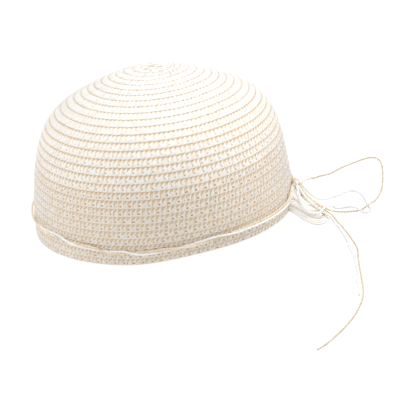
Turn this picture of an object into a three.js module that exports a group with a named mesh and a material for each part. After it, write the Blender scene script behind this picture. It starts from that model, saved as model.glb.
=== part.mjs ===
// Sun hat of straw braid with a two-strand tie band, in millimetres.
// +Z is up, +X points to the back of the hat, the hat rests on Z = 0.
import * as THREE from 'three';

// Braid rows and wall
const ROWS_CROWN = 27;
const ROWS_ALL = 30;
const ROW_STEP = 0.06;
const RIB_OUT = 0.55;
const RIB_IN = -0.35;
const WALL = 2.0;
const LINING_STEP = 3;
const CROWN_COLUMNS = 48;

// The whole hat leans forward on its front edge, which lies flat where it meets the surface
const CENTRE_X = 11.6;
const FRONT_REACH = 93.2;
const LEAN = Math.tan(THREE.MathUtils.degToRad(3.1));
const SETTLE = 1.2;
const FAR_SAG = 5.0;
const BACK_LIFT = 4.0;

// One section of the hat for every third row, from the tip down to the edge
const SECTIONS = [
  { halfLength: 0.0, halfWidth: 0.0, height: 115.6 },
  { halfLength: 19.3, halfWidth: 17.3, height: 114.4 },
  { halfLength: 35.6, halfWidth: 32.2, height: 110.3 },
  { halfLength: 50.6, halfWidth: 45.8, height: 103.5 },
  { halfLength: 66.0, halfWidth: 60.0, height: 94.6 },
  { halfLength: 77.9, halfWidth: 72.2, height: 82.3 },
  { halfLength: 84.6, halfWidth: 80.2, height: 67.6 },
  { halfLength: 88.5, halfWidth: 84.7, height: 51.6 },
  { halfLength: 90.9, halfWidth: 86.0, height: 34.8 },
  { halfLength: 92.7, halfWidth: 84.5, height: 18.2 },
  { halfLength: 93.0, halfWidth: 78.8, height: 0.6 },
];

// Tongue at the back, from the crease to its middle: where each line starts on the
// lower rim of the crown, how far out and down the start has moved, where it ends
const BRIM_TOP_ROW = ROWS_CROWN + 0.03;
const CREASE_ANGLE = 10.3;
const TONGUE_ARCH = 1.4;
const TONGUE_LINES = [
  { rimAngle: CREASE_ANGLE, out: 0.0, down: 0.0, x: 91.5, y: 14.1, z: 13.9 },
  { rimAngle: 7.8, out: 0.0, down: 0.0, x: 96.5, y: 14.7, z: 10.4 },
  { rimAngle: 5.4, out: 0.0, down: 0.0, x: 102.0, y: 14.6, z: 6.2 },
  { rimAngle: 3.0, out: 0.0, down: 0.0, x: 107.5, y: 14.3, z: 3.2 },
  { rimAngle: 0.9, out: 0.0, down: 0.0, x: 112.5, y: 13.0, z: 1.7 },
  { rimAngle: 0.6, out: 3.5, down: 6.0, x: 116.5, y: 10.0, z: 1.7 },
  { rimAngle: 0.6, out: 7.5, down: 10.5, x: 119.0, y: 5.6, z: 1.7 },
  { rimAngle: 0.0, out: 9.5, down: 13.0, x: 119.9, y: 0.0, z: 1.7 },
];
const TONGUE_STEPS = 14;
const BRIM_COLUMNS = 44;
const BRIM_ROWS = 3;
const BRIM_WALL = 1.6;

// Strands
const NATURAL_D = 1.4;
const WHITE_D = 1.6;
const STRAND_SIDES = 6;

// Band: the angle from the back in degrees, and the row on which its middle lies there
const BAND_ROWS = [
  [0, 27.0], [6.5, 27.0], [10, 27.5], [14, 27.9], [60, 27.8], [90, 27.8], [105, 27.7], [120, 27.4],
  [135, 27.1], [150, 26.95], [180, 27.0], [195, 27.05], [210, 26.85], [225, 26.85], [240, 27.2],
  [255, 27.7], [270, 27.88], [285, 27.78], [300, 27.6], [315, 27.5], [330, 27.8], [346, 27.9],
  [350, 27.5], [353.5, 27.0], [360, 27.0],
];
// Angles at which its strands cross, the first and last beyond its ends
const BAND_CROSSINGS = [-30, 35, 70, 105, 135, 152, 172, 217.5, 237, 254.5, 267, 287.5, 310, 400];
const BAND_OFF = 1.8;
const BAND_SPREAD = 1.0;
const BAND_RISE = 1.9;
const BAND_START = 3.3;
const BAND_STEPS = 96;

const KNOT_CENTRE = new THREE.Vector3(84.8, 0, 29.6);
const KNOT_RADII = new THREE.Vector3(2.7, 3.6, 3.4);

// Routes of the free strands from the knot, over the tongue and along the surface
const LOOP_NATURAL_ROUTE = [
  [88.0, 0.9, 28.3], [91.5, 14.0, 25.5], [95.5, 32.0, 18.5], [99.0, 49.0, 12.5], [104.0, 66.0, 6.5],
  [108.0, 80.5, 2.6], [113.5, 92.0, 0.9], [123.0, 101.5, 0.8], [129.0, 107.0, 0.8], [134.0, 109.0, 0.8],
  [138.5, 106.5, 0.8], [141.5, 98.0, 0.8], [143.0, 84.0, 0.8], [143.5, 69.5, 0.8], [143.0, 48.0, 0.8],
  [139.0, 28.0, 1.6], [135.0, 17.5, 3.9], [129.5, 12.5, 1.6], [121.0, 11.5, 0.8], [114.5, 11.0, 0.9],
  [111.5, 9.0, 2.0], [108.5, 5.5, 4.5], [106.0, 2.5, 7.1], [103.0, 1.0, 9.6], [100.0, 0.8, 12.0],
  [97.0, 0.8, 14.1], [95.0, 0.9, 15.6], [92.8, 1.0, 17.6], [90.8, 1.2, 20.8], [86.8, 1.4, 26.2],
];
const LOOP_WHITE_ROUTE = [
  [85.7, -3.8, 27.6], [86.8, -6.8, 24.2], [87.7, -9.6, 21.1], [89.5, -11.5, 17.5], [91.5, -12.0, 14.8],
  [94.5, -12.0, 12.0], [98.0, -11.0, 10.2], [101.2, -8.6, 10.0], [104.0, -5.5, 11.6], [106.0, -1.0, 10.8],
  [107.8, 4.0, 9.0], [109.2, 10.0, 6.0], [110.5, 14.5, 2.6], [113.0, 17.0, 0.9], [117.0, 16.8, 1.4],
  [121.5, 15.0, 2.9], [125.0, 12.5, 3.9], [128.5, 9.5, 2.9], [131.5, 8.5, 1.5], [134.0, 9.5, 0.9],
  [136.0, 12.5, 0.9], [135.5, 16.5, 0.9], [133.5, 23.0, 0.9], [131.0, 33.5, 0.9], [126.0, 44.5, 0.9],
  [121.0, 47.5, 0.9], [112.5, 40.0, 0.9], [105.5, 33.0, 1.6], [99.0, 22.5, 5.8], [94.0, 13.5, 13.6],
  [86.4, 3.6, 27.9],
];
const TAIL_NATURAL_ROUTE = [
  [86.8, -0.5, 26.0], [90.9, -1.6, 20.6], [92.9, -1.3, 17.4], [95.0, -1.5, 15.7], [97.2, -1.8, 14.1],
  [100.0, -1.9, 12.0], [103.2, -1.7, 9.5], [106.0, -1.3, 7.0], [109.0, -1.0, 4.5], [111.6, -2.6, 2.0],
  [113.5, -6.0, 0.9], [116.0, -11.0, 0.8], [124.5, -33.0, 0.8], [129.0, -48.5, 0.8], [130.5, -66.5, 0.8],
  [133.5, -93.0, 0.8], [135.5, -115.0, 0.8], [133.5, -134.0, 0.8], [128.0, -153.5, 0.8],
  [121.0, -170.0, 0.8], [114.0, -183.0, 0.8], [110.0, -188.5, 0.8],
];
const TAIL_WHITE_ROUTE = [
  [86.6, -2.2, 26.6], [90.7, -4.1, 20.8], [92.7, -4.1, 18.4], [95.2, -4.4, 15.9], [97.5, -4.7, 13.9],
  [100.3, -4.7, 11.7], [103.4, -4.6, 9.1], [106.3, -4.7, 6.6], [109.2, -4.9, 3.6], [111.2, -7.5, 1.5],
  [113.8, -13.5, 0.9], [119.5, -30.0, 0.9], [126.0, -56.5, 0.9], [129.5, -79.0, 0.9],
  [131.0, -100.5, 0.9], [132.6, -113.5, 0.9], [132.9, -117.0, 0.9],
];

const STRAW = new THREE.MeshStandardMaterial({ color: 0xe9e0cc, roughness: 0.85 });
const NATURAL_YARN = new THREE.MeshStandardMaterial({ color: 0xe6d3b4, roughness: 0.8 });
const WHITE_YARN = new THREE.MeshStandardMaterial({ color: 0xf1efe8, roughness: 0.8 });

const natural = { diameter: NATURAL_D, material: NATURAL_YARN };
const white = { diameter: WHITE_D, material: WHITE_YARN };
const FREE_STRANDS = [
  { name: 'loop_natural', route: LOOP_NATURAL_ROUTE, steps: 50, ...natural },
  { name: 'loop_white', route: LOOP_WHITE_ROUTE, steps: 36, ...white },
  { name: 'tail_natural', route: TAIL_NATURAL_ROUTE, steps: 26, ...natural },
  { name: 'tail_white', route: TAIL_WHITE_ROUTE, steps: 18, ...white },
];

const sectionCurve = new THREE.CatmullRomCurve3(
  SECTIONS.map((s) => new THREE.Vector3(s.halfLength, s.halfWidth, s.height)), false, 'catmullrom', 0.5);

// Point of the smooth wall at an angle from the back (radians) and a row counted from the tip
function wallPoint(angle, row) {
  const s = sectionCurve.getPoint(row / ROWS_ALL);
  const x = s.x * Math.cos(angle);
  const y = s.y * Math.sin(angle);
  const shoulder = Math.sin(Math.PI * Math.min(row / 18, 1));
  const sag = FAR_SAG * Math.max(Math.sin(angle) + 0.6, 0) / 1.6 * shoulder;
  const nearBack = THREE.MathUtils.smoothstep(Math.cos(angle), -0.2, 0.5);
  const lift = BACK_LIFT * nearBack * THREE.MathUtils.clamp((row - 26) / 4, 0, 1);
  const z = s.z + LEAN * (x + FRONT_REACH) - sag + lift - SETTLE;
  return new THREE.Vector3(x - CENTRE_X, y, Math.max(z, 0));
}

function wallNormal(angle, row) {
  const along = wallPoint(angle + 0.001, row).sub(wallPoint(angle - 0.001, row));
  const low = Math.min(row + 0.01, ROWS_ALL);
  const down = wallPoint(angle, low).sub(wallPoint(angle, row - 0.01));
  return down.cross(along).normalize();
}

function onWall(angle, row, offset) {
  return wallPoint(angle, row).addScaledVector(wallNormal(angle, row), offset);
}

// Closed mesh from rings of equal point count; a single point closes an end, otherwise last meets first
function meshFromRings(rings) {
  const positions = [];
  const starts = [];
  for (const ring of rings) {
    starts.push(positions.length / 3);
    ring.forEach((p) => positions.push(p.x, p.y, p.z));
  }
  const index = [];
  const isOpen = rings[0].length === 1;
  const bands = isOpen ? rings.length - 1 : rings.length;
  for (let i = 0; i < bands; i++) {
    const upper = rings[i];
    const lower = rings[(i + 1) % rings.length];
    const a = starts[i];
    const b = starts[(i + 1) % rings.length];
    const count = Math.max(upper.length, lower.length);
    for (let j = 0; j < count; j++) {
      const k = (j + 1) % count;
      if (upper.length === 1) {
        index.push(a, b + j, b + k);
      } else if (lower.length === 1) {
        index.push(a + j, b, a + k);
      } else {
        index.push(a + j, b + j, b + k, a + j, b + k, a + k);
      }
    }
  }
  const geometry = new THREE.BufferGeometry();
  geometry.setAttribute('position', new THREE.Float32BufferAttribute(positions, 3));
  geometry.setIndex(index);
  geometry.computeVertexNormals();
  return geometry;
}

// Crown: a ribbed outer wall, one step below each row of braid, and a plain inner wall
function crownGeometry() {
  const ring = (row, offset) => Array.from({ length: CROWN_COLUMNS },
    (_, j) => onWall((j / CROWN_COLUMNS) * 2 * Math.PI, row, offset));
  const tip = wallPoint(0, 0);
  const rings = [[tip.clone().add(new THREE.Vector3(0, 0, RIB_OUT))], ring(1 - ROW_STEP, RIB_OUT)];
  for (let row = 2; row <= ROWS_CROWN; row++) {
    rings.push(ring(row - 1 + ROW_STEP, RIB_IN));
    rings.push(ring(row - ROW_STEP, RIB_OUT));
  }
  for (let row = ROWS_CROWN - ROW_STEP; row > 1; row -= LINING_STEP) {
    rings.push(ring(row, -WALL));
  }
  rings.push([tip.clone().add(new THREE.Vector3(0, 0, -WALL))]);
  return meshFromRings(rings);
}

// Brim: lines from the rim of the crown to the edge, along the wall or out over the tongue
function brimLines() {
  const rad = THREE.MathUtils.degToRad;
  const roots = TONGUE_LINES.map((t) => wallPoint(rad(t.rimAngle), BRIM_TOP_ROW)
    .add(new THREE.Vector3(t.out, 0, -t.down)));
  const edges = TONGUE_LINES.map((t) => new THREE.Vector3(t.x - CENTRE_X, t.y, t.z));
  const mirrored = (list) => [...list, ...list.slice(0, -1).reverse()
    .map((p) => new THREE.Vector3(p.x, -p.y, p.z))];
  const rootCurve = new THREE.CatmullRomCurve3(mirrored(roots), false, 'catmullrom', 0.5);
  const edgeCurve = new THREE.CatmullRomCurve3(mirrored(edges), false, 'catmullrom', 0.5);
  const lines = [];
  const first = rad(CREASE_ANGLE);
  const sweep = 2 * Math.PI - 2 * first;
  for (let j = 1; j < BRIM_COLUMNS; j++) {
    const angle = first + (sweep * j) / BRIM_COLUMNS;
    lines.push({ flat: true, at: (w) => wallPoint(angle, BRIM_TOP_ROW + w * (ROWS_ALL - BRIM_TOP_ROW)) });
  }
  for (let j = 0; j <= 2 * TONGUE_STEPS; j++) {
    const u = 1 - j / (2 * TONGUE_STEPS);
    const root = rootCurve.getPoint(u);
    const edge = edgeCurve.getPoint(u);
    const fromCrease = Math.min(u, 1 - u) * 2;
    const arch = TONGUE_ARCH * THREE.MathUtils.smoothstep(fromCrease, 0, 0.43);
    lines.push({
      flat: false,
      at: (w) => root.clone().lerp(edge, w).add(new THREE.Vector3(0, 0, arch * 4 * w * (1 - w))),
    });
  }
  return lines;
}

function brimGeometry() {
  const lines = brimLines();
  const count = lines.length;
  const ring = (w, offset) => lines.map((line, j) => {
    const before = lines[(j + count - 1) % count];
    const after = lines[(j + 1) % count];
    const along = after.at(w).sub(before.at(w));
    const atFlatEdge = line.flat && w === 1;
    const down = atFlatEdge ? new THREE.Vector3(0, 0, -1)
      : line.at(Math.min(w + 0.02, 1)).sub(line.at(Math.max(w - 0.02, 0)));
    const normal = down.cross(along).normalize();
    const p = line.at(w).addScaledVector(normal, offset);
    p.z = Math.max(p.z, 0);
    return p;
  });
  const rings = [];
  for (let row = 0; row < BRIM_ROWS; row++) {
    rings.push(ring(row / BRIM_ROWS + (row > 0 ? 0.02 : 0), RIB_IN));
    rings.push(ring((row + 1) / BRIM_ROWS - (row < BRIM_ROWS - 1 ? 0.02 : 0), RIB_OUT));
  }
  for (let row = BRIM_ROWS; row >= 0; row--) rings.push(ring(row / BRIM_ROWS, -BRIM_WALL));
  return meshFromRings(rings);
}

// Strand: a thin round tube along a smooth route
function strandGeometry(points, diameter, steps) {
  const circle = new THREE.Shape();
  for (let i = 0; i < STRAND_SIDES; i++) {
    const a = (i / STRAND_SIDES) * 2 * Math.PI;
    const x = 0.5 * diameter * Math.cos(a);
    const y = 0.5 * diameter * Math.sin(a);
    if (i === 0) circle.moveTo(x, y);
    else circle.lineTo(x, y);
  }
  circle.closePath();
  const path = new THREE.CatmullRomCurve3(points);
  return new THREE.ExtrudeGeometry(circle, { steps, extrudePath: path, bevelEnabled: false });
}

// Value at a place in a list of places and values, with straight lines between them
function valueAt(list, place) {
  const i = Math.max(list.findIndex(([end]) => end >= place), 1);
  const [from, first] = list[i - 1];
  const [to, second] = list[i];
  return THREE.MathUtils.mapLinear(place, from, to, first, second);
}

// Band strands lie side by side round the crown from one side of the knot to the other,
// and one rises over the other where they cross
function bandRoute(phase) {
  const halfTurns = BAND_CROSSINGS.map((place, i) => [place, (i - 0.5) * Math.PI]);
  const points = [];
  for (let i = 0; i <= BAND_STEPS; i++) {
    const place = BAND_START + (360 - 2 * BAND_START) * (i / BAND_STEPS);
    const angle = THREE.MathUtils.degToRad(place);
    const row = valueAt(BAND_ROWS, place);
    const turn = valueAt(halfTurns, place) + phase;
    const rise = BAND_RISE * Math.max(-Math.sin(turn), 0) ** 2;
    const down = wallPoint(angle, row + 0.1).sub(wallPoint(angle, row - 0.1)).normalize();
    points.push(onWall(angle, row, BAND_OFF + rise).addScaledVector(down, BAND_SPREAD * Math.cos(turn)));
  }
  return points;
}

function knotGeometry() {
  const ball = new THREE.SphereGeometry(1, 12, 8);
  ball.scale(KNOT_RADII.x, KNOT_RADII.y, KNOT_RADII.z);
  ball.translate(KNOT_CENTRE.x, KNOT_CENTRE.y, KNOT_CENTRE.z);
  return ball;
}

const hat = new THREE.Group();
hat.name = 'sun_hat';
function addPiece(name, geometry, material) {
  const mesh = new THREE.Mesh(geometry, material);
  mesh.name = name;
  hat.add(mesh);
}
addPiece('crown', crownGeometry(), STRAW);
addPiece('brim', brimGeometry(), STRAW);
addPiece('band_natural', strandGeometry(bandRoute(Math.PI), NATURAL_D, BAND_STEPS), NATURAL_YARN);
addPiece('band_white', strandGeometry(bandRoute(0), WHITE_D, BAND_STEPS), WHITE_YARN);
addPiece('knot', knotGeometry(), NATURAL_YARN);
for (const { name, route, diameter, steps, material } of FREE_STRANDS) {
  const points = route.map((point) => new THREE.Vector3(...point));
  addPiece(name, strandGeometry(points, diameter, steps), material);
}

export default hat;
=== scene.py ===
import math

import bpy
import numpy as np
from mathutils import Matrix, Vector


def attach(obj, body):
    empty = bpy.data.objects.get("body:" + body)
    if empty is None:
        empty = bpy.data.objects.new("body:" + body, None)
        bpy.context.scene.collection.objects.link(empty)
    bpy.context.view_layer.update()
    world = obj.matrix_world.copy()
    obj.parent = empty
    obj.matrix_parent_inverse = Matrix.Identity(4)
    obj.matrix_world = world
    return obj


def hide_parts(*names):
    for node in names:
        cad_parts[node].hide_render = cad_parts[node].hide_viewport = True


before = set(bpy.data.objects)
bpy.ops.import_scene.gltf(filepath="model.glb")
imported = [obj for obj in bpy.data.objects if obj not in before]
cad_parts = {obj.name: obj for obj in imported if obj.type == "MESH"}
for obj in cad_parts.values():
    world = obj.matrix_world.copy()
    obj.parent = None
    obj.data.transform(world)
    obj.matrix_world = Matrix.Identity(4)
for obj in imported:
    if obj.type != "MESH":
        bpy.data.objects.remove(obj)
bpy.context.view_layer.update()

# Sun hat of sewn straw braid with a tie cord of two strands.
# Sizes are in millimetres, in the frame of the part, and meshes are made in metres.
MM = 0.001
BODY = "root"

# Form of the hat: rows of braid count from the tip down
ROWS_CROWN = 27
ROWS_ALL = 30
ROWS_PER_SECTION = 3
ROW_DEPTH = 5.6
CENTRE_X = 11.6
FRONT_REACH = 93.2
LEAN = math.tan(math.radians(3.1))
SETTLE = 1.2
# sag of the far shoulder, the row that it ends at and how far round it spreads
FAR_SAG = 5.0
SAG_ROWS = 18
SAG_SPREAD = 0.6
# lift of the edge at the back, the row that it starts from and the cosines that it grows between
BACK_LIFT = 4.0
LIFT_ROW = 26
LIFT_ARC = (-0.2, 0.5)
# half length, half width and height of every third row, from the tip down to the edge
SECTIONS = np.array([
    (0.0, 0.0, 115.6),
    (19.3, 17.3, 114.4),
    (35.6, 32.2, 110.3),
    (50.6, 45.8, 103.5),
    (66.0, 60.0, 94.6),
    (77.9, 72.2, 82.3),
    (84.6, 80.2, 67.6),
    (88.5, 84.7, 51.6),
    (90.9, 86.0, 34.8),
    (92.7, 84.5, 18.2),
    (93.0, 78.8, 0.6),
])
BRIM_TOP_ROW = ROWS_CROWN + 0.03
BRIM_LAST_ROW = ROWS_ALL - 0.04
CREASE_ANGLE = 10.3
# how high the tongue arches, and the share of its half width over which the arch grows to that
TONGUE_ARCH = 1.4
ARCH_GROWS = 0.43
# from the crease to the tip of the tongue: angle on the rim of the crown, how far out and down
# the line starts from there, and where it ends
TONGUE_LINES = np.array([
    (CREASE_ANGLE, 0.0, 0.0, 91.5, 14.1, 13.9),
    (7.8, 0.0, 0.0, 96.5, 14.7, 10.4),
    (5.4, 0.0, 0.0, 102.0, 14.6, 6.2),
    (3.0, 0.0, 0.0, 107.5, 14.3, 3.2),
    (0.9, 0.0, 0.0, 112.5, 13.0, 1.7),
    (0.6, 3.5, 6.0, 116.5, 10.0, 1.7),
    (0.6, 7.5, 10.5, 119.0, 5.6, 1.7),
    (0.0, 9.5, 13.0, 119.9, 0.0, 1.7),
])
# part of a turn round the brim that runs over the tongue
TONGUE_SHARE = 0.14
# steps over which the slopes of the surfaces are measured
TURN_STEP = 0.002
ROW_STEP = 0.05
BAND_ROW_STEP = 0.1
ACROSS_STEP = 0.01
EDGE_STEP = 0.1

# Strands of the tie cord: thickness of the yarn, radius of a ply and length of a twist, its palest and
# darkest colour, how flecked it is, and what its colour is multiplied by for the painted shade of a free
# strand
YARNS = {
    "natural": dict(
        diameter=1.4, ply=0.43, pitch=4.5, light=(0.90, 0.80, 0.62, 1), dark=(0.72, 0.50, 0.26, 1),
        flecks=1.5, loose=(0.75, 0.75, 0.77, 1)),
    "white": dict(
        diameter=1.6, ply=0.6, pitch=6.5, light=(0.90, 0.90, 0.89, 1), dark=(0.80, 0.80, 0.79, 1),
        flecks=0.6, loose=(0.86, 0.87, 0.91, 1)),
}
YARN_PLIES = 2
YARN_STEP = 0.6
# how far the plies reach out from the middle of the yarn, as a share of its diameter
YARN_REACH = 0.51
TUBE_SIDES = 7
# a free strand is painted in shade between these heights on its way down, or between these places in y
PAINTED_SHADE_HEIGHTS = (2.5, 5)
PAINTED_SHADE_SIDE = (16, 28)
# the band's angle from the back in degrees, and the row on which its middle lies there
BAND_ROWS = np.array([
    [0, 27.0], [6.5, 27.0], [10, 27.5], [14, 27.9], [60, 27.8], [90, 27.8], [105, 27.7], [120, 27.4],
    [135, 27.1], [150, 26.95], [180, 27.0], [195, 27.05], [210, 26.85], [225, 26.85], [240, 27.2],
    [255, 27.7], [270, 27.88], [285, 27.78], [300, 27.6], [315, 27.5], [330, 27.8], [346, 27.9],
    [350, 27.5], [353.5, 27.0], [360, 27.0],
])
# angles at which its strands cross, the first and last beyond its ends
BAND_CROSSINGS = [-30, 35, 70, 105, 135, 152, 172, 217.5, 237, 254.5, 267, 287.5, 310, 400]
BAND_PHASES = {"natural": math.pi, "white": 0.0}
BAND_OFF = 1.8
BAND_SPREAD = 1.0
BAND_RISE = 1.9
BAND_START = 3.3
BAND_STEPS = 96
KNOT_CENTRE = np.array([84.8, 0.0, 29.6])
KNOT_RADII = np.array([2.7, 3.6, 3.4])
KNOT_DRAW = 1.6
# windings of the knot: how many turns, round which axis, how deep and up to which latitude
KNOT_WINDINGS = {
    "knot_winding": dict(kind="natural", turns=2.2, axis=(0.1, 1.0, 0.05), inset=0.7, latitude=0.45),
    "knot_under": dict(kind="white", turns=3.4, axis=(1.0, 0.1, 0.5), inset=1.3, latitude=1.25),
}
KNOT_POINTS_PER_TURN = 28
# the windings start square to this direction
KNOT_ASIDE = (0.3, 0.2, 1.0)
# routes of the free strands, from the knot on, and the points of a line for each step of its route
ROUTE_STEPS = 12
LOOP_NATURAL_ROUTE = [
    [88.0, 0.9, 28.3], [91.5, 14.0, 25.5], [95.5, 32.0, 18.5], [99.0, 49.0, 12.5], [104.0, 66.0, 6.5],
    [108.0, 80.5, 2.6], [113.5, 92.0, 0.9], [123.0, 101.5, 0.8], [129.0, 107.0, 0.8], [134.0, 109.0, 0.8],
    [138.5, 106.5, 0.8], [141.5, 98.0, 0.8], [143.0, 84.0, 0.8], [143.5, 69.5, 0.8], [143.0, 48.0, 0.8],
    [139.0, 28.0, 1.6], [135.0, 17.5, 3.9], [129.5, 12.5, 1.6], [121.0, 11.5, 0.8], [114.5, 11.0, 0.9],
    [111.5, 9.0, 2.0], [108.5, 5.5, 4.5], [106.0, 2.5, 7.1], [103.0, 1.0, 9.6], [100.0, 0.8, 12.0],
    [97.0, 0.8, 14.1], [95.0, 0.9, 15.6], [92.8, 1.0, 17.6], [90.8, 1.2, 20.8], [86.8, 1.4, 26.2],
]
LOOP_WHITE_ROUTE = [
    [85.7, -3.8, 27.6], [86.8, -6.8, 24.2], [87.7, -9.6, 21.1], [89.5, -11.5, 17.5], [91.5, -12.0, 14.8],
    [94.5, -12.0, 12.0], [98.0, -11.0, 10.2], [101.2, -8.6, 10.0], [104.0, -5.5, 11.6], [106.0, -1.0, 10.8],
    [107.8, 4.0, 9.0], [109.2, 10.0, 6.0], [110.5, 14.5, 2.6], [113.0, 17.0, 0.9], [117.0, 16.8, 1.4],
    [121.5, 15.0, 2.9], [125.0, 12.5, 3.9], [128.5, 9.5, 2.9], [131.5, 8.5, 1.5], [134.0, 9.5, 0.9],
    [136.0, 12.5, 0.9], [135.5, 16.5, 0.9], [133.5, 23.0, 0.9], [131.0, 33.5, 0.9], [126.0, 44.5, 0.9],
    [121.0, 47.5, 0.9], [112.5, 40.0, 0.9], [105.5, 33.0, 1.6], [99.0, 22.5, 5.8], [94.0, 13.5, 13.6],
    [86.4, 3.6, 27.9],
]
TAIL_NATURAL_ROUTE = [
    [86.8, -0.5, 26.0], [90.9, -1.6, 20.6], [92.9, -1.3, 17.4], [95.0, -1.5, 15.7], [97.2, -1.8, 14.1],
    [100.0, -1.9, 12.0], [103.2, -1.7, 9.5], [106.0, -1.3, 7.0], [109.0, -1.0, 4.5], [111.6, -2.6, 2.0],
    [113.5, -6.0, 0.9], [116.0, -11.0, 0.8], [124.5, -33.0, 0.8], [129.0, -48.5, 0.8], [130.5, -66.5, 0.8],
    [133.5, -93.0, 0.8], [135.5, -115.0, 0.8], [133.5, -134.0, 0.8], [128.0, -153.5, 0.8],
    [121.0, -170.0, 0.8], [114.0, -183.0, 0.8], [110.0, -188.5, 0.8],
]
TAIL_WHITE_ROUTE = [
    [86.6, -2.2, 26.6], [90.7, -4.1, 20.8], [92.7, -4.1, 18.4], [95.2, -4.4, 15.9], [97.5, -4.7, 13.9],
    [100.3, -4.7, 11.7], [103.4, -4.6, 9.1], [106.3, -4.7, 6.6], [109.2, -4.9, 3.6], [111.2, -7.5, 1.5],
    [113.8, -13.5, 0.9], [119.5, -30.0, 0.9], [126.0, -56.5, 0.9], [129.5, -79.0, 0.9],
    [131.0, -100.5, 0.9], [132.6, -113.5, 0.9], [132.9, -117.0, 0.9],
]

# Braid: length of a stitch, how far the lowest row stops short of the edge, and the share of a row
# above its lower edge at which its stitches are measured
STITCH = 6.6
EDGE_RISE = 0.3
LIP = 0.15
LEAST_STITCHES = 4
# share of a stitch by which the stitches of a row shift, times the square of the row's number
ROW_SHIFT = 0.37
# how far each strand may turn, how far apart the seeds of the pieces of braid are, and how far the
# seeds of the tones lie beyond those of the turns
SWAY = math.radians(5)
SEED_STEP = 20
TONE_SEED = 10
STRAND_THICK = 0.7
# outline of a strand of two straws side by side, as shares of its width and thickness,
# and how far each corner lies in the groove between them; the lower side of the outline faces out
STRAND_OUTLINE = [
    (0.0, 0.5, 0), (0.5, 0.1, 0), (0.27, -0.45, 0), (0.0, -0.15, 1), (-0.27, -0.45, 0), (-0.5, 0.1, 0),
]
# strands of one stitch, each with its tint, its number of rings and its path: points to the right,
# down the row and out of the wall, and how wide it is there as a share of the strand width
STRANDS = {
    "hook": dict(tint=-0.25, rings=10, path=[
        (2.45, -0.8, -0.2, 0.85), (1.95, 0.4, 0.1, 0.85), (1.15, 1.4, 0.3, 0.75), (0.7, 2.4, 0.45, 0.8),
        (1.2, 3.6, 0.5, 1.25), (1.05, 4.45, 0.55, 0.9), (0.1, 4.95, 0.5, 0.8), (-0.9, 4.85, 0.4, 0.75),
        (-1.5, 4.4, 0.15, 0.6)]),
    "lean": dict(tint=0.1, rings=9, path=[
        (-0.85, -0.8, -0.2, 0.85), (-1.35, 0.4, 0.1, 0.85), (-2.15, 1.4, 0.3, 0.75),
        (-2.65, 2.4, 0.4, 0.85), (-2.05, 3.6, 0.4, 1.35), (-2.4, 4.4, 0.45, 1.0), (-3.4, 4.9, 0.4, 0.9),
        (-4.4, 4.9, 0.15, 0.7)]),
    "fill": dict(tint=0.55, rings=6, path=[
        (-3.0, 1.8, -0.2, 0.6), (-3.4, 2.7, 0.3, 1.0), (-3.7, 3.6, 0.4, 1.35), (-4.0, 4.4, 0.35, 1.25),
        (-4.6, 4.9, 0.1, 0.8)]),
    "bridge": dict(tint=0.5, rings=4, path=[
        (2.6, 1.75, -0.25, 0.6), (0.9, 2.2, 0.3, 0.8), (-0.6, 2.5, 0.3, 0.8), (-1.8, 2.8, 0.1, 0.7)]),
}
PATH_STEPS = 6
ROW_SAMPLES = 1440
# backing of one row: place down the row, distance out of the wall and how pale it is
# its darkest values paint shade in the holes and shadow in the line under the row above, over the tan of
# the straw
BACKING = np.array([
    (0.03, -0.1, 0.2), (0.15, 0.05, 0.35), (0.35, 0.15, 0.5), (0.52, 0.2, 0.6), (0.7, 0.0, 0.0),
    (0.85, 0.2, 0.9), (0.96, 0.2, 1.0),
])
# backing of the tongue, which is paler with painted light and has a thin line of painted shadow between its
# rows
TONGUE_BACKING = np.array([(0.03, -0.4, 0.6), (0.2, -0.2, 1.6), (0.96, -0.2, 1.6)])
# lining of one row, with the same three numbers
LINING = np.array([(0.05, -2.3, 0.3), (0.5, -1.9, 0.7), (0.95, -2.1, 0.7)])
# straws round the backing, and how far they lean, in radians round the hat for each metre of height
BACKING_STRAWS = 420
BACKING_LEAN = 5.7
# how much paler the backing is: painted light on the high rows below their lines, and fainter painted
# shadow in the lines of the low rows, with the rows and the places down the row between which that changes,
# and the rows between which the paler tip of painted light ends
HIGH_PALER = 1.4
HIGH_ROWS = (8, 22)
BELOW_LINE = (0.2, 0.35)
LOW_PALER = 0.2
LOW_ROWS = (18, 24)
IN_LINE = (0.15, 0.3)
TIP_ROWS = (2, 8)
CROWN_COLUMNS = 160
BRIM_COLUMNS = 300
BRIM_RINGS = 40
BRIM_LINING_RINGS = 9
# straws side by side in a row of the tongue: place down the row, distance out of the wall and tint
TONGUE_STRAWS = [(0.06, -0.2, 0.4), (0.3, 0.0, 0.0), (0.54, 0.1, -0.2), (0.78, 0.15, 0.1)]
TONGUE_ROWS = range(25, ROWS_ALL + 1)
TONGUE_STEPS = 90
# how much of a row has to fit on the tongue
TONGUE_ROOM = 0.8
TONGUE_STRAW_D = 1.4
TONGUE_STRAW_STEP = 1.2
# how much further down the row their colours read, so that the painted shadow of the lines between the rows
# stays faint
TONGUE_SHIFT = 0.06
# how far their tone moves on from row to row, and over the depth of one row
TONE_BY_ROW = 0.37
TONE_BY_PLACE = 1.7

# Colours of the straw and of its backing
STRAW_WHITE = (0.90, 0.893, 0.88, 1)
STRAW_CREAM = (0.87, 0.775, 0.645, 1)
# the groove colour is painted shade, and the wedge and tucked colours are the tan of the straw with painted
# shadow of the row above
STRAW_GROOVE_SHADE = (0.76, 0.60, 0.43, 1)
STRAW_WEDGE_TAN_AND_SHADOW = (0.80, 0.66, 0.48, 1)
STRAW_TUCKED_TAN_AND_SHADOW = (0.77, 0.58, 0.37, 1)
STRAW_FIBRE = (0.70, 0.54, 0.36, 1)
BACKING_WHITE = (0.88, 0.86, 0.82, 1)
BACKING_TAN = (0.84, 0.73, 0.56, 1)
BACKING_BROWN_AND_SHADE = (0.60, 0.38, 0.18, 1)
SPECULAR = 0.25
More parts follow.
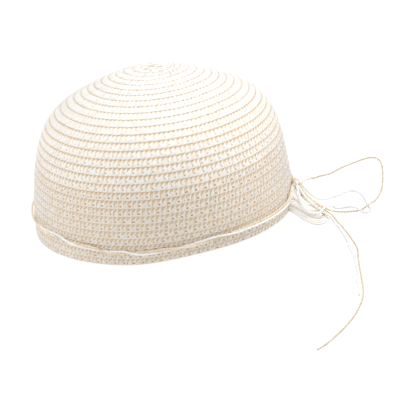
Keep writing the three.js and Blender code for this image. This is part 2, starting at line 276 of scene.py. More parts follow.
# features of the noises to the metre, and their detail
STRAW_FIBRES = 2600.0
STRAW_PATCHES = 22.0
BACKING_FIBRES = 1500.0
BACKING_BLOTCHES = 500.0
YARN_FIBRES = 4200.0
YARN_BLOTCHES = 260.0
FLOOR_CLOUDS = 3.0
NOISE_DETAIL = 3.0

# Camera of the photograph
CAMERA_AZIMUTH = 10.0
CAMERA_HEIGHT = 25.03
CAMERA_ROLL = 4.11
CAMERA_DISTANCE = 1250.0
CAMERA_TARGET = Vector((19.3, 8.4, 6.2))
CAMERA_LENS = 149.65
CAMERA_SENSOR = 36.0

# Light: place of each softbox in metres, its size and its power
SOFTBOXES = {
    "softbox_top": ((0.0, 0.1, 1.6), 1.4, 15.6),
    "softbox_left": ((-1.2, -0.2, 0.8), 0.9, 6.4),
    "softbox_right": ((1.2, 0.2, 0.8), 0.9, 13.8),
    "softbox_front": ((-0.3, -1.1, 1.1), 1.0, 9.5),
}
WHITE = (1, 1, 1, 1)
SKY_STRENGTH = 0.04
FLOOR_HALF = 2.5
FLOOR_GLOW = 0.95
FLOOR_DARK = (0.14, 0.14, 0.14, 1)
FLOOR_PALE = (0.16, 0.16, 0.16, 1)


# Small helpers
def unit(vectors):
    return vectors / np.linalg.norm(vectors, axis=-1, keepdims=True)


def smooth(value, low, high):
    """A soft step from 0 to 1 between two values."""
    t = np.clip((value - low) / (high - low), 0, 1)
    return t * t * (3 - 2 * t)


def run_on(points):
    """The points of a line with one more at each end, straight on."""
    return np.vstack([2 * points[0] - points[1], points, 2 * points[-1] - points[-2]])


def hermite(start, end, out, arrive, f):
    """The point at f, from 0 to 1, of a cubic that leaves and arrives with the given slopes."""
    return (start + out * f + (3 * (end - start) - 2 * out - arrive) * f ** 2
            + (2 * (start - end) + out + arrive) * f ** 3)


def catmull(points, t):
    """Points of a uniform Catmull-Rom curve at t, counted in points."""
    ends = run_on(points)
    t = np.clip(t, 0, len(points) - 1)
    i = np.minimum(t.astype(int), len(points) - 2)
    p0, p1, p2, p3 = ends[i], ends[i + 1], ends[i + 2], ends[i + 3]
    return hermite(p1, p2, 0.5 * (p2 - p0), 0.5 * (p3 - p1), (t - i)[..., None])


def smooth_route(points, per_step=ROUTE_STEPS):
    """A centripetal Catmull-Rom line through a route's points."""
    points = np.asarray(points, float)
    ends = run_on(points)
    f = np.linspace(0, 1, per_step, endpoint=False)[:, None]
    line = []
    for p0, p1, p2, p3 in zip(ends, ends[1:], ends[2:], ends[3:]):
        d0, d1, d2 = (np.linalg.norm(b - a) ** 0.5 for a, b in ((p0, p1), (p1, p2), (p2, p3)))
        out = ((p1 - p0) / d0 - (p2 - p0) / (d0 + d1) + (p2 - p1) / d1) * d1
        arrive = ((p2 - p1) / d1 - (p3 - p1) / (d1 + d2) + (p3 - p2) / d2) * d1
        line.append(hermite(p1, p2, out, arrive, f))
    return np.vstack(line + [points[-1:]])


def link(thing):
    bpy.context.scene.collection.objects.link(thing)
    return thing


def mark(mesh, name, values):
    """Stores a number for each point of a mesh."""
    layer = mesh.attributes.new(name, "FLOAT", "POINT")
    layer.data.foreach_set("value", np.ascontiguousarray(values, np.float32))


def mark_vectors(mesh, name, vectors):
    """Stores a direction or a size for each point of a mesh."""
    layer = mesh.attributes.new(name, "FLOAT_VECTOR", "POINT")
    layer.data.foreach_set("vector", np.ascontiguousarray(vectors, np.float32).ravel())


# Surfaces of the hat: a turn from 0 to 1 starts at the back, rows count from the tip
def wall(turn, row):
    """The outside of the crown, and of the brim where it hangs straight on."""
    turn, row = np.broadcast_arrays(np.asarray(turn, float), np.asarray(row, float))
    angle = 2 * math.pi * turn
    size = catmull(SECTIONS, row / ROWS_PER_SECTION)
    x, y = size[..., 0] * np.cos(angle), size[..., 1] * np.sin(angle)
    shoulder = np.sin(math.pi * np.minimum(row / SAG_ROWS, 1))
    sag = FAR_SAG * np.maximum(np.sin(angle) + SAG_SPREAD, 0) / (1 + SAG_SPREAD) * shoulder
    lifted = np.clip((row - LIFT_ROW) / (ROWS_ALL - LIFT_ROW), 0, 1)
    lift = BACK_LIFT * smooth(np.cos(angle), *LIFT_ARC) * lifted
    z = size[..., 2] + LEAN * (x + FRONT_REACH) - sag + lift - SETTLE
    return np.stack([x - CENTRE_X, y, z], -1)


def tongue(across, w):
    """The tongue at the back: across runs from -1 to 1, crease to crease, and w from root to edge."""
    across, w = np.broadcast_arrays(np.asarray(across, float), np.asarray(w, float))
    roots = wall(TONGUE_LINES[:, 0] / 360, BRIM_TOP_ROW) + TONGUE_LINES[:, 1:2] * (1, 0, 0)
    roots = roots - TONGUE_LINES[:, 2:3] * (0, 0, 1)
    edges = TONGUE_LINES[:, 3:] - (CENTRE_X, 0, 0)
    both = [np.vstack([side, side[-2::-1] * (1, -1, 1)]) for side in (roots, edges)]
    t = (1 - across) * (len(TONGUE_LINES) - 1)
    root, edge = catmull(both[0], t), catmull(both[1], t)
    arch = TONGUE_ARCH * smooth(1 - np.abs(across), 0, ARCH_GROWS)
    points = root * (1 - w[..., None]) + edge * w[..., None]
    points[..., 2] += arch * 4 * w * (1 - w)
    return points


def over_tongue(turn):
    """How far across the tongue a turn of the brim is, which is below -1 on the wall."""
    return (turn - 1 + TONGUE_SHARE) / TONGUE_SHARE * 2 - 1


def brim(turn, row):
    """The outside of the brim: most of a turn runs round the wall, and the rest over the tongue."""
    turn, row = np.broadcast_arrays(np.asarray(turn, float) % 1, np.asarray(row, float))
    crease = CREASE_ANGLE / 360
    w = (row - BRIM_TOP_ROW) / (ROWS_ALL - BRIM_TOP_ROW)
    round_wall = wall(crease + (1 - 2 * crease) * np.minimum(turn / (1 - TONGUE_SHARE), 1), row)
    out_back = tongue(over_tongue(turn), w)
    return np.where((turn > 1 - TONGUE_SHARE)[..., None], out_back, round_wall)


def crowding(turn):
    """How many times as many rows of braid the brim has at a turn as on the wall."""
    turn = np.asarray(turn, float) % 1
    across = np.clip(over_tongue(turn), -1, 1)
    reach = (tongue(across, 1.0) - tongue(across, 1 - EDGE_STEP)) / EDGE_STEP
    edge = unit(tongue(across + ACROSS_STEP, 1.0) - tongue(across - ACROSS_STEP, 1.0))
    depth = np.linalg.norm(np.cross(reach, edge), axis=-1)
    return np.maximum(depth / ROW_DEPTH / (ROWS_ALL - BRIM_TOP_ROW), 1)


def brim_rows(turn, row):
    """The brim with its rows counted from the edge, so that more of them fit on the tongue."""
    return brim(turn, ROWS_ALL - (ROWS_ALL - row) / crowding(turn))


def everywhere(turn, row):
    """A row of the crown has room all round."""
    return np.full(len(turn), True)


def off_tongue(turn, row):
    """A stitched row of the brim has room on the wall alone."""
    return turn < 1 - TONGUE_SHARE


def on_tongue(turn, row):
    """A row has room where the tongue is deep enough for it, and the last three rows all over it."""
    fits = (ROWS_ALL - BRIM_TOP_ROW) * crowding(turn) > ROWS_ALL - row + TONGUE_ROOM
    return ~off_tongue(turn, row) & (fits | (row > ROWS_CROWN))


def outward(surface, turn, row):
    """The direction out of a surface."""
    along = surface(turn + TURN_STEP, row) - surface(turn - TURN_STEP, row)
    down = surface(turn, row + ROW_STEP) - surface(turn, row - ROW_STEP)
    return unit(np.cross(down, along))


# Pieces of braid: surface, rows, where on the row, how wide its strands and how high its relief
BRAIDS = {
    "crown_braid_top": dict(
        surface=wall, rows=range(1, 14), room=everywhere, width=2.6, relief=0.35),
    "crown_braid_side": dict(
        surface=wall, rows=range(14, 21), room=everywhere, width=1.75, relief=0.5),
    "crown_braid_low": dict(
        surface=wall, rows=range(21, ROWS_CROWN + 1), room=everywhere, width=1.3, relief=0.7),
    "brim_braid": dict(
        surface=brim_rows, rows=range(ROWS_CROWN + 1, ROWS_ALL + 1), room=off_tongue, width=1.3,
        relief=0.7),
}


# Node trees
class Wire:
    """A socket in a node tree. Arithmetic on it adds Math nodes."""

    def __init__(self, plan, socket):
        self.plan = plan
        self.socket = socket

    def of(self, name):
        """Another output of the same node."""
        return Wire(self.plan, self.plan.find(self.socket.node.outputs, name))

    def math(self, operation, first, second=0.0):
        return self.plan.node("ShaderNodeMath", {"operation": operation}, {0: first, 1: second})

    def __add__(self, other):
        return self.math("ADD", self, other)

    def __radd__(self, other):
        return self.math("ADD", other, self)

    def __sub__(self, other):
        return self.math("SUBTRACT", self, other)

    def __rsub__(self, other):
        return self.math("SUBTRACT", other, self)

    def __mul__(self, other):
        return self.math("MULTIPLY", self, other)

    def __rmul__(self, other):
        return self.math("MULTIPLY", other, self)

    def __truediv__(self, other):
        return self.math("DIVIDE", self, other)

    def __rtruediv__(self, other):
        return self.math("DIVIDE", other, self)


class Plan:
    """A node tree being built: node() adds any node, with its settings first and then its sockets."""

    def __init__(self, tree):
        self.tree = tree

    @staticmethod
    def find(sockets, key):
        if isinstance(key, int):
            return sockets[key]
        return next(s for s in sockets if s.name == key and s.enabled)

    def node(self, kind, settings=None, sockets=None):
        made = self.tree.nodes.new(kind)
        for name, value in (settings or {}).items():
            setattr(made, name, value)
        for key, value in (sockets or {}).items():
            self.put(value, self.find(made.inputs, key))
        return Wire(self, next((s for s in made.outputs if s.enabled), None)) if made.outputs else made

    def put(self, value, socket):
        """Links a wire, or each wire of a list, to a socket, or sets its value."""
        if isinstance(value, list):
            for one in value:
                self.put(one, socket)
        elif isinstance(value, Wire):
            self.tree.links.new(value.socket, socket)
        else:
            socket.default_value = value

    def mix(self, share, first, second, blend="MIX"):
        """Two colours mixed by a share."""
        return self.node("ShaderNodeMix", {"data_type": "RGBA", "blend_type": blend},
                         {"Factor": share, "A": first, "B": second})

    def vector(self, operation, first, second):
        return self.node("ShaderNodeVectorMath", {"operation": operation}, {0: first, 1: second})

    def scaled(self, vector, factor):
        return self.node("ShaderNodeVectorMath", {"operation": "SCALE"},
                         {"Vector": vector, "Scale": factor})

    def clamped(self, value):
        return self.node("ShaderNodeClamp", {}, {"Value": value})

    def parts(self, vector):
        return self.node("ShaderNodeSeparateXYZ", {}, {"Vector": vector})

    def store(self, geometry, name, value, domain="POINT"):
        """Geometry with a number stored on it under a name."""
        return self.node("GeometryNodeStoreNamedAttribute", {"data_type": "FLOAT", "domain": domain},
                         {"Geometry": geometry, "Name": name, "Value": value})


def shape_plan(name, sizes):
    """A Geometry Nodes tree with a named input for each size: its plan and its inputs."""
    tree = bpy.data.node_groups.new(name, "GeometryNodeTree")
    tree.interface.new_socket("Geometry", in_out="OUTPUT", socket_type="NodeSocketGeometry")
    tree.interface.new_socket("Geometry", in_out="INPUT", socket_type="NodeSocketGeometry")
    for size, kind in sizes.items():
        tree.interface.new_socket(size, in_out="INPUT", socket_type=kind)
    plan = Plan(tree)
    return plan, plan.node("NodeGroupInput")


def close_plan(plan, parts, material):
    """Joins, realizes and finishes what a tree has made."""
    joined = plan.node("GeometryNodeJoinGeometry", {}, {"Geometry": parts})
    real = plan.node("GeometryNodeRealizeInstances", {}, {"Geometry": joined})
    rounded = plan.node("GeometryNodeSetShadeSmooth", {}, {"Geometry": real})
    dressed = plan.node("GeometryNodeSetMaterial", {}, {"Geometry": rounded, "Material": material})
    plan.node("NodeGroupOutput", {}, {"Geometry": dressed})
    return plan.tree


def grown(name, mesh, tree, sizes):
    """The plain mesh piece that a tree grows from a mesh."""
    source = link(bpy.data.objects.new(name + "_source", mesh))
    modifier = source.modifiers.new("grow", "NODES")
    modifier.node_group = tree
    for item in tree.interface.items_tree:
        if item.in_out == "INPUT" and item.name in sizes:
            modifier[item.identifier] = sizes[item.name]
    graph = bpy.context.evaluated_depsgraph_get()
    made = bpy.data.meshes.new_from_object(
        source.evaluated_get(graph), preserve_all_data_layers=True, depsgraph=graph)
    bpy.data.objects.remove(source)
    made.name = name
    return link(bpy.data.objects.new(name, made))


# Materials
def new_material(name, roughness, sheen=0.0):
    material = bpy.data.materials.new(name)
    material.use_nodes = True
    plan = Plan(material.node_tree)
    surface = material.node_tree.nodes["Principled BSDF"]
    surface.inputs["Roughness"].default_value = roughness
    surface.inputs["Sheen Weight"].default_value = sheen
    surface.inputs["Specular IOR Level"].default_value = SPECULAR
    return material, plan, surface


def attribute(plan, name):
    return plan.node("ShaderNodeAttribute", {"attribute_name": name}).of("Fac")


def object_place(plan):
    return plan.node("ShaderNodeTexCoord").of("Object")


def noise(plan, scale):
    """Noise with so many features to the metre."""
    return plan.node("ShaderNodeTexNoise", {},
                     {"Vector": object_place(plan), "Scale": scale, "Detail": NOISE_DETAIL}).of("Fac")


def bump(plan, surface, height, distance, strength):
    """Raises a surface by a height, at most by a distance in millimetres."""
    raised = plan.node("ShaderNodeBump", {},
                       {"Height": height, "Distance": distance * MM, "Strength": strength})
    plan.put(raised, surface.inputs["Normal"])


def straw_strand_material():
    """Pale paper straw, whose colour follows the place down the row and the way the wall faces, with
    painted light and shade.
    """
    material, plan, surface = new_material("paper_straw", 0.8, sheen=0.6)
    tint, tone, drop, groove = (attribute(plan, name) for name in ("tint", "tone", "drop", "groove"))
    fibre = noise(plan, STRAW_FIBRES)
    patch = noise(plan, STRAW_PATCHES)
    facing = plan.node("ShaderNodeAttribute", {"attribute_name": "outward"}).of("Vector")
    facing_up = plan.parts(facing).of("Z")
    upward = plan.clamped(facing_up * 2.5)
    tip = plan.clamped((facing_up - 0.8) * 4.0)
    # painted light: whiter where the wall faces up, and varied by strand, stitch, place down the row and
    # wide patches
    share = tint + (tone - 0.5) * 0.8 + (drop - 0.2) * 0.5 + (patch - 0.5) * 0.4 - 0.25 * upward
    colour = plan.mix(share, STRAW_WHITE, STRAW_CREAM)
    # painted shade in the groove between the two straws of a strand, fainter where the wall faces up
    colour = plan.mix((groove - 0.35) * 1.2 * (1.0 - 0.75 * upward), colour, STRAW_GROOVE_SHADE)
    # the upper part of the row, partly the tan of the straw and partly painted shadow of the row above,
    # most of all where the wall is steep
    wedge_tan_and_shadow = (0.42 - drop) * 2.0 * (1.0 - 0.8 * upward) * tone
    colour = plan.mix(wedge_tan_and_shadow, colour, STRAW_WEDGE_TAN_AND_SHADOW)
    # the tan of the straw with painted shadow of the row above, on the line where strands go under it,
    # which fades towards the tip where painted light takes over
    tucked_tan_and_shadow = (0.19 - drop) * 12.0 * (0.15 + 0.85 * upward) * (0.7 + 0.3 * tone) * (1.0 - 0.8 * tip)
    colour = plan.mix(tucked_tan_and_shadow, colour, STRAW_TUCKED_TAN_AND_SHADOW)
    colour = plan.mix((fibre - 0.5) * 0.5, colour, STRAW_FIBRE)
    plan.put(colour, surface.inputs["Base Color"])
    bump(plan, surface, fibre, 0.1, 0.5)
    return material


def straw_backing_material():
    """Darker straws side by side behind the strands, all leaning one way; their shade mark also paints
    shade in the holes and under the rows, and light high on the crown.
    """
    material, plan, surface = new_material("straw_backing", 0.9, sheen=0.6)
    place = plan.parts(object_place(plan))
    angle = place.math("ARCTAN2", place.of("Y"), place.of("X") + CENTRE_X * MM)
    across = (angle - place.of("Z") * BACKING_LEAN) * BACKING_STRAWS
    ridge = across.math("SINE", across)
    blotch = noise(plan, BACKING_BLOTCHES)
    # the shade mark carries painted shade in the holes and in the line under the row above, and painted
    # light high on the crown, round the tip and on the tongue
    share = attribute(plan, "shade") + (blotch - 0.5) * 0.4 + 0.15 * ridge
    colour = plan.mix(share, BACKING_BROWN_AND_SHADE, BACKING_TAN)
    colour = plan.mix(share - 1.0, colour, BACKING_WHITE)
    plan.put(colour, surface.inputs["Base Color"])
    bump(plan, surface, noise(plan, BACKING_FIBRES) + 0.6 * ridge, 0.3, 0.6)
    return material


def yarn_material(kind):
    """Twisted yarn, darkened with painted shade where a free strand lies on the surface or runs clear of
    the tongue.
    """
    yarn = YARNS[kind]
    material, plan, surface = new_material(kind + "_yarn", 0.75, sheen=0.2)
    blotch = noise(plan, YARN_BLOTCHES)
    fibre = noise(plan, YARN_FIBRES)
    share = (blotch - 0.35) * yarn["flecks"] + (fibre - 0.5) * 0.4
    colour = plan.mix(share, yarn["light"], yarn["dark"])
    # painted shade: the colour of a free strand is multiplied down where the mark says
    colour = plan.mix(attribute(plan, "loose"), colour, yarn["loose"], "MULTIPLY")
    plan.put(colour, surface.inputs["Base Color"])
    bump(plan, surface, fibre, 0.12, 0.6)
    return material


# Camera
def place_camera():
    azimuth, height, roll = (math.radians(a) for a in (CAMERA_AZIMUTH, CAMERA_HEIGHT, CAMERA_ROLL))
    towards = Vector((math.cos(height) * math.sin(azimuth), -math.cos(height) * math.cos(azimuth),
                      math.sin(height)))
    place = Vector((-CENTRE_X, 0, 0)) + CAMERA_DISTANCE * towards
    back = (place - CAMERA_TARGET).normalized()
    level = Vector((0, 0, 1)).cross(back).normalized()
    upright = back.cross(level)
    right = math.cos(roll) * level - math.sin(roll) * upright
    camera = link(bpy.data.objects.new("camera", bpy.data.cameras.new("camera")))
    camera.data.lens = CAMERA_LENS
    camera.data.sensor_width = CAMERA_SENSOR
    turn = Matrix((right, back.cross(right), back)).transposed().to_4x4()
    camera.matrix_world = Matrix.Translation(place * MM) @ turn
    bpy.context.scene.camera = camera


# Yarn
def tubes_along(plan, line, radius):
    """Closed tubes along curves."""
    profile = plan.node("GeometryNodeCurvePrimitiveCircle", {"mode": "RADIUS"},
                        {"Resolution": TUBE_SIDES, "Radius": radius})
    return plan.node("GeometryNodeCurveToMesh", {},
                     {"Curve": line, "Profile Curve": profile, "Fill Caps": True})


def even_curve(plan, given):
    """The lines of the mesh that a tree is given, as curves with points one step apart."""
    line = plan.node("GeometryNodeMeshToCurve", {}, {"Mesh": given.of("Geometry")})
    return plan.node("GeometryNodeResampleCurve", {"mode": "LENGTH"},
                     {"Curve": line, "Length": given.of("Step")})


def yarn_tree(kind):
    """The tree that twists the plies of one kind of yarn along a line."""
    sizes = dict.fromkeys(("Ply radius", "Twist radius", "Pitch", "Step"), "NodeSocketFloat")
    plan, given = shape_plan(kind + "_twist", sizes)
    line = even_curve(plan, given)
    run = plan.node("GeometryNodeSplineParameter").of("Length")
    normal = plan.node("GeometryNodeInputNormal").of("Normal")
    side = plan.vector("CROSS_PRODUCT", plan.node("GeometryNodeInputTangent"), normal)
    radius = given.of("Twist radius")
    parts = []
    for ply in range(YARN_PLIES):
        angle = run / given.of("Pitch") * (2 * math.pi) + 2 * math.pi * ply / YARN_PLIES
        shift = plan.vector("ADD", plan.scaled(normal, angle.math("COSINE", angle) * radius),
                            plan.scaled(side, angle.math("SINE", angle) * radius))
        twisted = plan.node("GeometryNodeSetPosition", {}, {"Geometry": line, "Offset": shift})
        parts.append(tubes_along(plan, twisted, given.of("Ply radius")))
    return close_plan(plan, parts, yarn_material(kind))


def polyline_mesh(name, line):
    mesh = bpy.data.meshes.new(name)
    mesh.from_pydata((line * MM).tolist(), [(i, i + 1) for i in range(len(line) - 1)], [])
    return mesh


def yarn_piece(name, line, kind, loose=0.0):
    """Twisted yarn along a line; the plies fill its diameter."""
    yarn = YARNS[kind]
    sizes = {"Ply radius": yarn["ply"] * MM,
             "Twist radius": (YARN_REACH * yarn["diameter"] - yarn["ply"]) * MM,
             "Pitch": yarn["pitch"] * MM, "Step": YARN_STEP * MM}
    mesh = polyline_mesh(name, line)
    mark(mesh, "loose", np.broadcast_to(loose, len(line)))
    return grown(name, mesh, bpy.data.node_groups[kind + "_twist"], sizes)


def dress(piece, node):
    """A piece that takes the place of a CAD node."""
    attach(piece, BODY)
    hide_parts(node)


def into_knot(point):
    """A point drawn from the end of a strand into the knot."""
    return point + KNOT_DRAW * unit(KNOT_CENTRE - point)


def free_strand(node, route, kind, far_end):
    """A loop or tail of the tie cord, laid on the surface, with its ends drawn into the knot."""
    line = smooth_route(route)
    drawn = np.vstack([into_knot(line[0]), line])
    if far_end == "object":
        drawn = np.vstack([drawn, into_knot(line[-1])])
    # how much painted shade each point gets, low on the surface and clear of the tongue
    loose = np.maximum(1 - smooth(drawn[:, 2], *PAINTED_SHADE_HEIGHTS), smooth(drawn[:, 1], *PAINTED_SHADE_SIDE))
    piece = yarn_piece(node + "_yarn", drawn, kind, loose)
    dress(piece, node)


def band_line(phase):
    """One strand of the band, round the crown from one side of the knot to the other."""
    place = np.linspace(BAND_START, 360 - BAND_START, BAND_STEPS + 1)
    turn = place / 360
    row = np.interp(place, BAND_ROWS[:, 0], BAND_ROWS[:, 1])
    half_turns = (np.arange(len(BAND_CROSSINGS)) - 0.5) * math.pi
    twist = np.interp(place, BAND_CROSSINGS, half_turns) + phase
    rise = BAND_RISE * np.maximum(-np.sin(twist), 0) ** 2
    down = unit(wall(turn, row + BAND_ROW_STEP) - wall(turn, row - BAND_ROW_STEP))
    line = wall(turn, row) + (BAND_OFF + rise)[:, None] * outward(wall, turn, row)
    line = line + BAND_SPREAD * np.cos(twist)[:, None] * down
    return smooth_route(np.vstack([KNOT_CENTRE + (0, 1, 0), line, KNOT_CENTRE - (0, 1, 0)]))


def make_band():
    for kind, phase in BAND_PHASES.items():
        strand = yarn_piece("band_%s_yarn" % kind, band_line(phase), kind)
        dress(strand, "band_" + kind)


def knot_line(turns, axis, inset, latitude):
    """Yarn wound on a ball, from one end of an axis towards the other."""
    t = np.linspace(0, 1, int(turns * KNOT_POINTS_PER_TURN))
    axis = unit(np.array(axis, float))
    side = unit(np.cross(axis, KNOT_ASIDE))
    lat = (2 * t - 1) * latitude
    spin = 2 * math.pi * turns * t
    ball = (np.sin(lat)[:, None] * axis + (np.cos(lat) * np.cos(spin))[:, None] * side
            + (np.cos(lat) * np.sin(spin))[:, None] * np.cross(axis, side))
    return KNOT_CENTRE + ball * (KNOT_RADII - inset)


def make_knot():
    for name, winding in KNOT_WINDINGS.items():
        line = knot_line(winding["turns"], winding["axis"], winding["inset"], winding["latitude"])
        piece = yarn_piece(name, line, winding["kind"])
        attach(piece, BODY)
        if name == "knot_winding":
            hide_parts("knot")


# Straw
def ring_mesh(name, rings, shades, material):
    """A closed mesh from rings of points, the last of which meets the first, with their shades."""
    count, columns = len(rings), len(rings[0])
    points = np.vstack(rings) * MM
    i, j = np.meshgrid(np.arange(count), np.arange(columns), indexing="ij")
    here, below, beside = i * columns, (i + 1) % count * columns, (j + 1) % columns
    faces = np.stack([here + j, below + j, below + beside, here + beside], -1)
    mesh = bpy.data.meshes.new(name)
    mesh.from_pydata(points.tolist(), [], faces.reshape(-1, 4).tolist())
    mesh.polygons.foreach_set("use_smooth", [True] * len(mesh.polygons))
    mark(mesh, "shade", np.hstack(shades))
    mesh.materials.append(material)
    mesh.update()
    return link(bpy.data.objects.new(name, mesh))


def backing_paler(row, place):
    """How much paler the backing is on a row, at a place down it: painted light high on the crown and round
    the tip, and fainter painted shadow in the lines of the low rows.
    """
    high = HIGH_PALER * (1 - smooth(row, *HIGH_ROWS)) * smooth(place, *BELOW_LINE)
    low = LOW_PALER * smooth(row, *LOW_ROWS) * (1 - smooth(place, *IN_LINE))
    return high + low + 1 - smooth(row, *TIP_ROWS)


def shell_piece(name, surface, outer_rows, inner_rows, columns, crowd, material):
    """The backing of the braid: a stepped outer wall and a stepped lining, flat where it rests."""
    turn = np.arange(columns) / columns
    rings, shades = [], []
    for row in outer_rows:
        place = (ROWS_ALL - (ROWS_ALL - row) * crowd(turn)) % 1
        plain, pale = (np.stack([np.interp(place, table[:, 0], table[:, k]) for k in (1, 2)])
                       for table in (BACKING, TONGUE_BACKING))
        off, shade = np.where(crowd(turn) > 1, pale, plain)
        rings.append(surface(turn, row) + off[:, None] * outward(surface, turn, row))
        shades.append(shade + backing_paler(row, place))
    for row in inner_rows[::-1]:
        off, shade = (np.interp(row % 1, LINING[:, 0], LINING[:, k]) for k in (1, 2))
        rings.append(surface(turn, row) + off * outward(surface, turn, row))
        shades.append(np.full(columns, shade))
    for ring in rings:
        ring[:, 2] = np.maximum(ring[:, 2], 0.0)
    return ring_mesh(name, rings, shades, material)


def make_backing(material):
    crown_rows = np.arange(ROWS_CROWN)[:, None]
    crown = shell_piece("crown_shell", wall, (crown_rows + BACKING[:, 0]).ravel(),
                        (crown_rows + LINING[:, 0]).ravel(), CROWN_COLUMNS, np.ones_like, material)
    dress(crown, "crown")
    outer, inner = (np.linspace(BRIM_TOP_ROW, BRIM_LAST_ROW, rings)
                    for rings in (BRIM_RINGS, BRIM_LINING_RINGS))
    edge = shell_piece("brim_shell", brim, outer, inner, BRIM_COLUMNS, crowding, material)
    dress(edge, "brim")


def braid_stations(surface, rows, room, relief):
    """Where each stitch of the braid starts, how it lies and how large it is, where there is room."""
    fine = np.linspace(0, 1, ROW_SAMPLES + 1)
    found = []
    for row in rows:
        line = surface(fine, row - LIP)
        run = np.concatenate([[0], np.cumsum(np.linalg.norm(np.diff(line, axis=0), axis=1))])
        count = max(round(run[-1] / STITCH), LEAST_STITCHES)
        start = (np.arange(count) + row * row * ROW_SHIFT % 1) * run[-1] / count % run[-1]
        turn = np.interp(start, run, fine)
        turn = turn[room(turn, row)]
        top = surface(turn, row - 1)
        down = surface(turn, row) - top
        along = unit(surface(turn + TURN_STEP, row - LIP) - surface(turn - TURN_STEP, row - LIP))
        depth = np.linalg.norm(np.cross(down, along), axis=1)
        if row == ROWS_ALL:
            depth = depth - EDGE_RISE + np.minimum(surface(turn, row)[:, 2], 0)
        length = np.full(len(turn), run[-1] / count / STITCH)
        size = np.stack([length, depth / ROW_DEPTH, np.full(len(turn), relief)], 1)
        found.append(np.hstack([top * MM, unit(np.cross(down, along)), along, size]))
    return np.vstack(found)


def stations_mesh(name, stations):
    mesh = bpy.data.meshes.new(name)
    mesh.from_pydata(stations[:, :3].tolist(), [], [])
    for i, field in enumerate(("outward", "along", "size"), start=1):
        mark_vectors(mesh, field, stations[:, 3 * i:3 * i + 3])
    return mesh


def strand_path(name, path):
    """A strand as a line in the frame of its stitch, x along the row and z out of the wall."""
    points = smooth_route(np.array(path) * (1, -1, 1, 1), per_step=PATH_STEPS)
    mesh = polyline_mesh(name, points[:, :3])
    mark(mesh, "width", points[:, 3])
    return link(bpy.data.objects.new(name, mesh))


def strand_outline():
    mesh = bpy.data.meshes.new("strand_outline")
    corners = len(STRAND_OUTLINE)
    sides = [(i, (i + 1) % corners) for i in range(corners)]
    mesh.from_pydata([(x, y, 0) for x, y, _ in STRAND_OUTLINE], sides, [])
    mark(mesh, "groove", [groove for _, _, groove in STRAND_OUTLINE])
    return link(bpy.data.objects.new("strand_outline", mesh))


def braid_tree(paths, material):
    """The tree that lays the strands of a stitch at each station."""
    sizes = {"Strand width": "NodeSocketFloat", "Strand thickness": "NodeSocketFloat",
             "Sway": "NodeSocketFloat", "Seed": "NodeSocketInt"}
    plan, given = shape_plan("straw_braid", sizes)

    def field(name, kind="FLOAT_VECTOR"):
        return plan.node("GeometryNodeInputNamedAttribute", {"data_type": kind}, {"Name": name})

    def chance(low, high, shift):
        return plan.node("FunctionNodeRandomValue", {"data_type": "FLOAT"},
                         {"Min": low, "Max": high, "Seed": given.of("Seed") + shift})

    def curve(thing):
        mesh = plan.node("GeometryNodeObjectInfo", {}, {"Object": thing}).of("Geometry")
        return plan.node("GeometryNodeMeshToCurve", {}, {"Mesh": mesh})

    lie = plan.node("FunctionNodeAxesToRotation", {"primary_axis": "Z", "secondary_axis": "X"},
                    {"Primary Axis": field("outward"), "Secondary Axis": field("along")})
    flat = plan.node("ShaderNodeCombineXYZ", {}, {"X": given.of("Strand width"),
                                                  "Y": given.of("Strand thickness"), "Z": 1.0})
    profile = plan.node("GeometryNodeTransform", {}, {"Geometry": curve(paths["outline"]), "Scale": flat})
    parts = []
    for shift, (name, strand) in enumerate(STRANDS.items()):
        line = plan.node("GeometryNodeResampleCurve", {"mode": "COUNT"},
                         {"Curve": curve(paths[name]), "Count": strand["rings"]})
        line = plan.node("GeometryNodeSetCurveNormal", {"mode": "Z_UP"}, {"Curve": line})
        place = plan.parts(plan.node("GeometryNodeInputPosition"))
        line = plan.store(line, "drop", place.of("Y") / (-ROW_DEPTH * MM))
        line = plan.store(line, "tint", strand["tint"])
        tube = plan.node("GeometryNodeCurveToMesh", {},
                         {"Curve": line, "Profile Curve": profile, "Scale": field("width", "FLOAT")})
        wobble = plan.node("ShaderNodeCombineXYZ", {}, {"Z": chance(-1.0, 1.0, shift) * given.of("Sway")})
        wobble = plan.node("FunctionNodeEulerToRotation", {}, {"Euler": wobble})
        turned = plan.node("FunctionNodeRotateRotation", {"rotation_space": "LOCAL"},
                           {"Rotation": lie, "Rotate By": wobble})
        laid = plan.node("GeometryNodeInstanceOnPoints", {},
                         {"Points": given.of("Geometry"), "Instance": tube, "Rotation": turned,
                          "Scale": field("size")})
        parts.append(plan.store(laid, "tone", chance(0.0, 1.0, shift + TONE_SEED), "INSTANCE"))
    return close_plan(plan, parts, material)


def make_braid(material):
    paths = {name: strand_path("strand_" + name, strand["path"]) for name, strand in STRANDS.items()}
    paths["outline"] = strand_outline()
    tree = braid_tree(paths, material)
    for seed, (name, braid) in enumerate(BRAIDS.items()):
        sizes = {"Strand width": braid["width"] * MM, "Strand thickness": STRAND_THICK * MM,
                 "Sway": SWAY, "Seed": SEED_STEP * seed}
        stations = braid_stations(braid["surface"], braid["rows"], braid["room"], braid["relief"])
        piece = grown(name, stations_mesh(name, stations), tree, sizes)
        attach(piece, BODY)
    for path in paths.values():
        bpy.data.objects.remove(path)


def tongue_lines():
    """Lines of the straws along the rows of the tongue, with the fields that the straw's colours read."""
    turn = np.linspace(1 - TONGUE_SHARE, 1, TONGUE_STEPS)
    lines, fields = [], []
    for row in TONGUE_ROWS:
        fits = turn[on_tongue(turn, row)]
        for place, off, tint in TONGUE_STRAWS:
            level = np.full(len(fits), row - 1 + place)
            normal = outward(brim_rows, fits, level)
            lines.append(brim_rows(fits, level) + off * normal)
            tone = (row * TONE_BY_ROW + place * TONE_BY_PLACE) % 1
            plain = np.broadcast_to((tint, tone, place + TONGUE_SHIFT), (len(fits), 3))
            fields.append(np.hstack([plain, normal]))
    return lines, fields


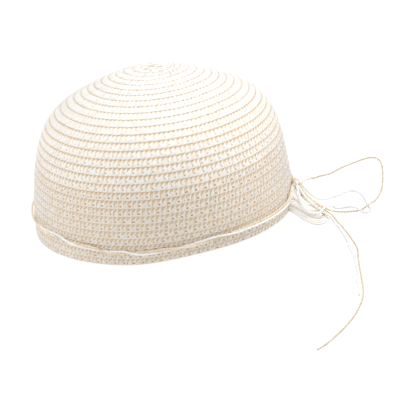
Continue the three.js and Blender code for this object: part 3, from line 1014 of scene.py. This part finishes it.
def tongue_mesh(name):
    lines, fields = tongue_lines()
    starts = np.cumsum([0] + [len(line) for line in lines])
    edges = [(i, i + 1) for a, b in zip(starts, starts[1:]) for i in range(a, b - 1)]
    mesh = bpy.data.meshes.new(name)
    mesh.from_pydata((np.vstack(lines) * MM).tolist(), edges, [])
    values = np.vstack(fields)
    for k, field in enumerate(("tint", "tone", "drop")):
        mark(mesh, field, values[:, k])
    mark_vectors(mesh, "outward", values[:, 3:])
    return mesh


def straw_tree(material):
    """The tree that makes straws along lines."""
    plan, given = shape_plan("straws", {"Straw radius": "NodeSocketFloat", "Step": "NodeSocketFloat"})
    tubes = tubes_along(plan, even_curve(plan, given), given.of("Straw radius"))
    return close_plan(plan, [tubes], material)


def make_tongue_rows(material):
    sizes = {"Straw radius": 0.5 * TONGUE_STRAW_D * MM, "Step": TONGUE_STRAW_STEP * MM}
    rows = grown("tongue_rows", tongue_mesh("tongue_rows"), straw_tree(material), sizes)
    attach(rows, BODY)


# Surroundings
def make_floor():
    corners = [(x * FLOOR_HALF, y * FLOOR_HALF, 0) for x, y in ((-1, -1), (1, -1), (1, 1), (-1, 1))]
    mesh = bpy.data.meshes.new("floor")
    mesh.from_pydata(corners, [], [(0, 1, 2, 3)])
    material, plan, surface = new_material("floor_white", 0.6)
    colour = plan.mix(noise(plan, FLOOR_CLOUDS), FLOOR_DARK, FLOOR_PALE)
    plan.put(colour, surface.inputs["Base Color"])
    surface.inputs["Emission Color"].default_value = WHITE
    surface.inputs["Emission Strength"].default_value = FLOOR_GLOW
    mesh.materials.append(material)
    floor = link(bpy.data.objects.new("floor", mesh))


def make_light():
    world = bpy.data.worlds.new("studio")
    world.use_nodes = True
    sky = world.node_tree.nodes["Background"]
    sky.inputs["Color"].default_value = WHITE
    sky.inputs["Strength"].default_value = SKY_STRENGTH
    bpy.context.scene.world = world
    for name, (place, size, power) in SOFTBOXES.items():
        lamp = bpy.data.lights.new(name, "AREA")
        lamp.shape = "DISK"
        lamp.size = size
        lamp.energy = power
        softbox = link(bpy.data.objects.new(name, lamp))
        place = Vector(place)
        aim = place.to_track_quat("Z", "Y").to_matrix().to_4x4()
        softbox.matrix_world = Matrix.Translation(place) @ aim
    bpy.context.scene.view_settings.view_transform = "Standard"


place_camera()
for kind in YARNS:
    yarn_tree(kind)
free_strand("loop_natural", LOOP_NATURAL_ROUTE, "natural", "object")
free_strand("loop_white", LOOP_WHITE_ROUTE, "white", "object")
free_strand("tail_natural", TAIL_NATURAL_ROUTE, "natural", "bare")
free_strand("tail_white", TAIL_WHITE_ROUTE, "white", "bare")
make_band()
make_knot()
straw = straw_strand_material()
make_backing(straw_backing_material())
make_braid(straw)
make_tongue_rows(straw)
make_floor()
make_light()
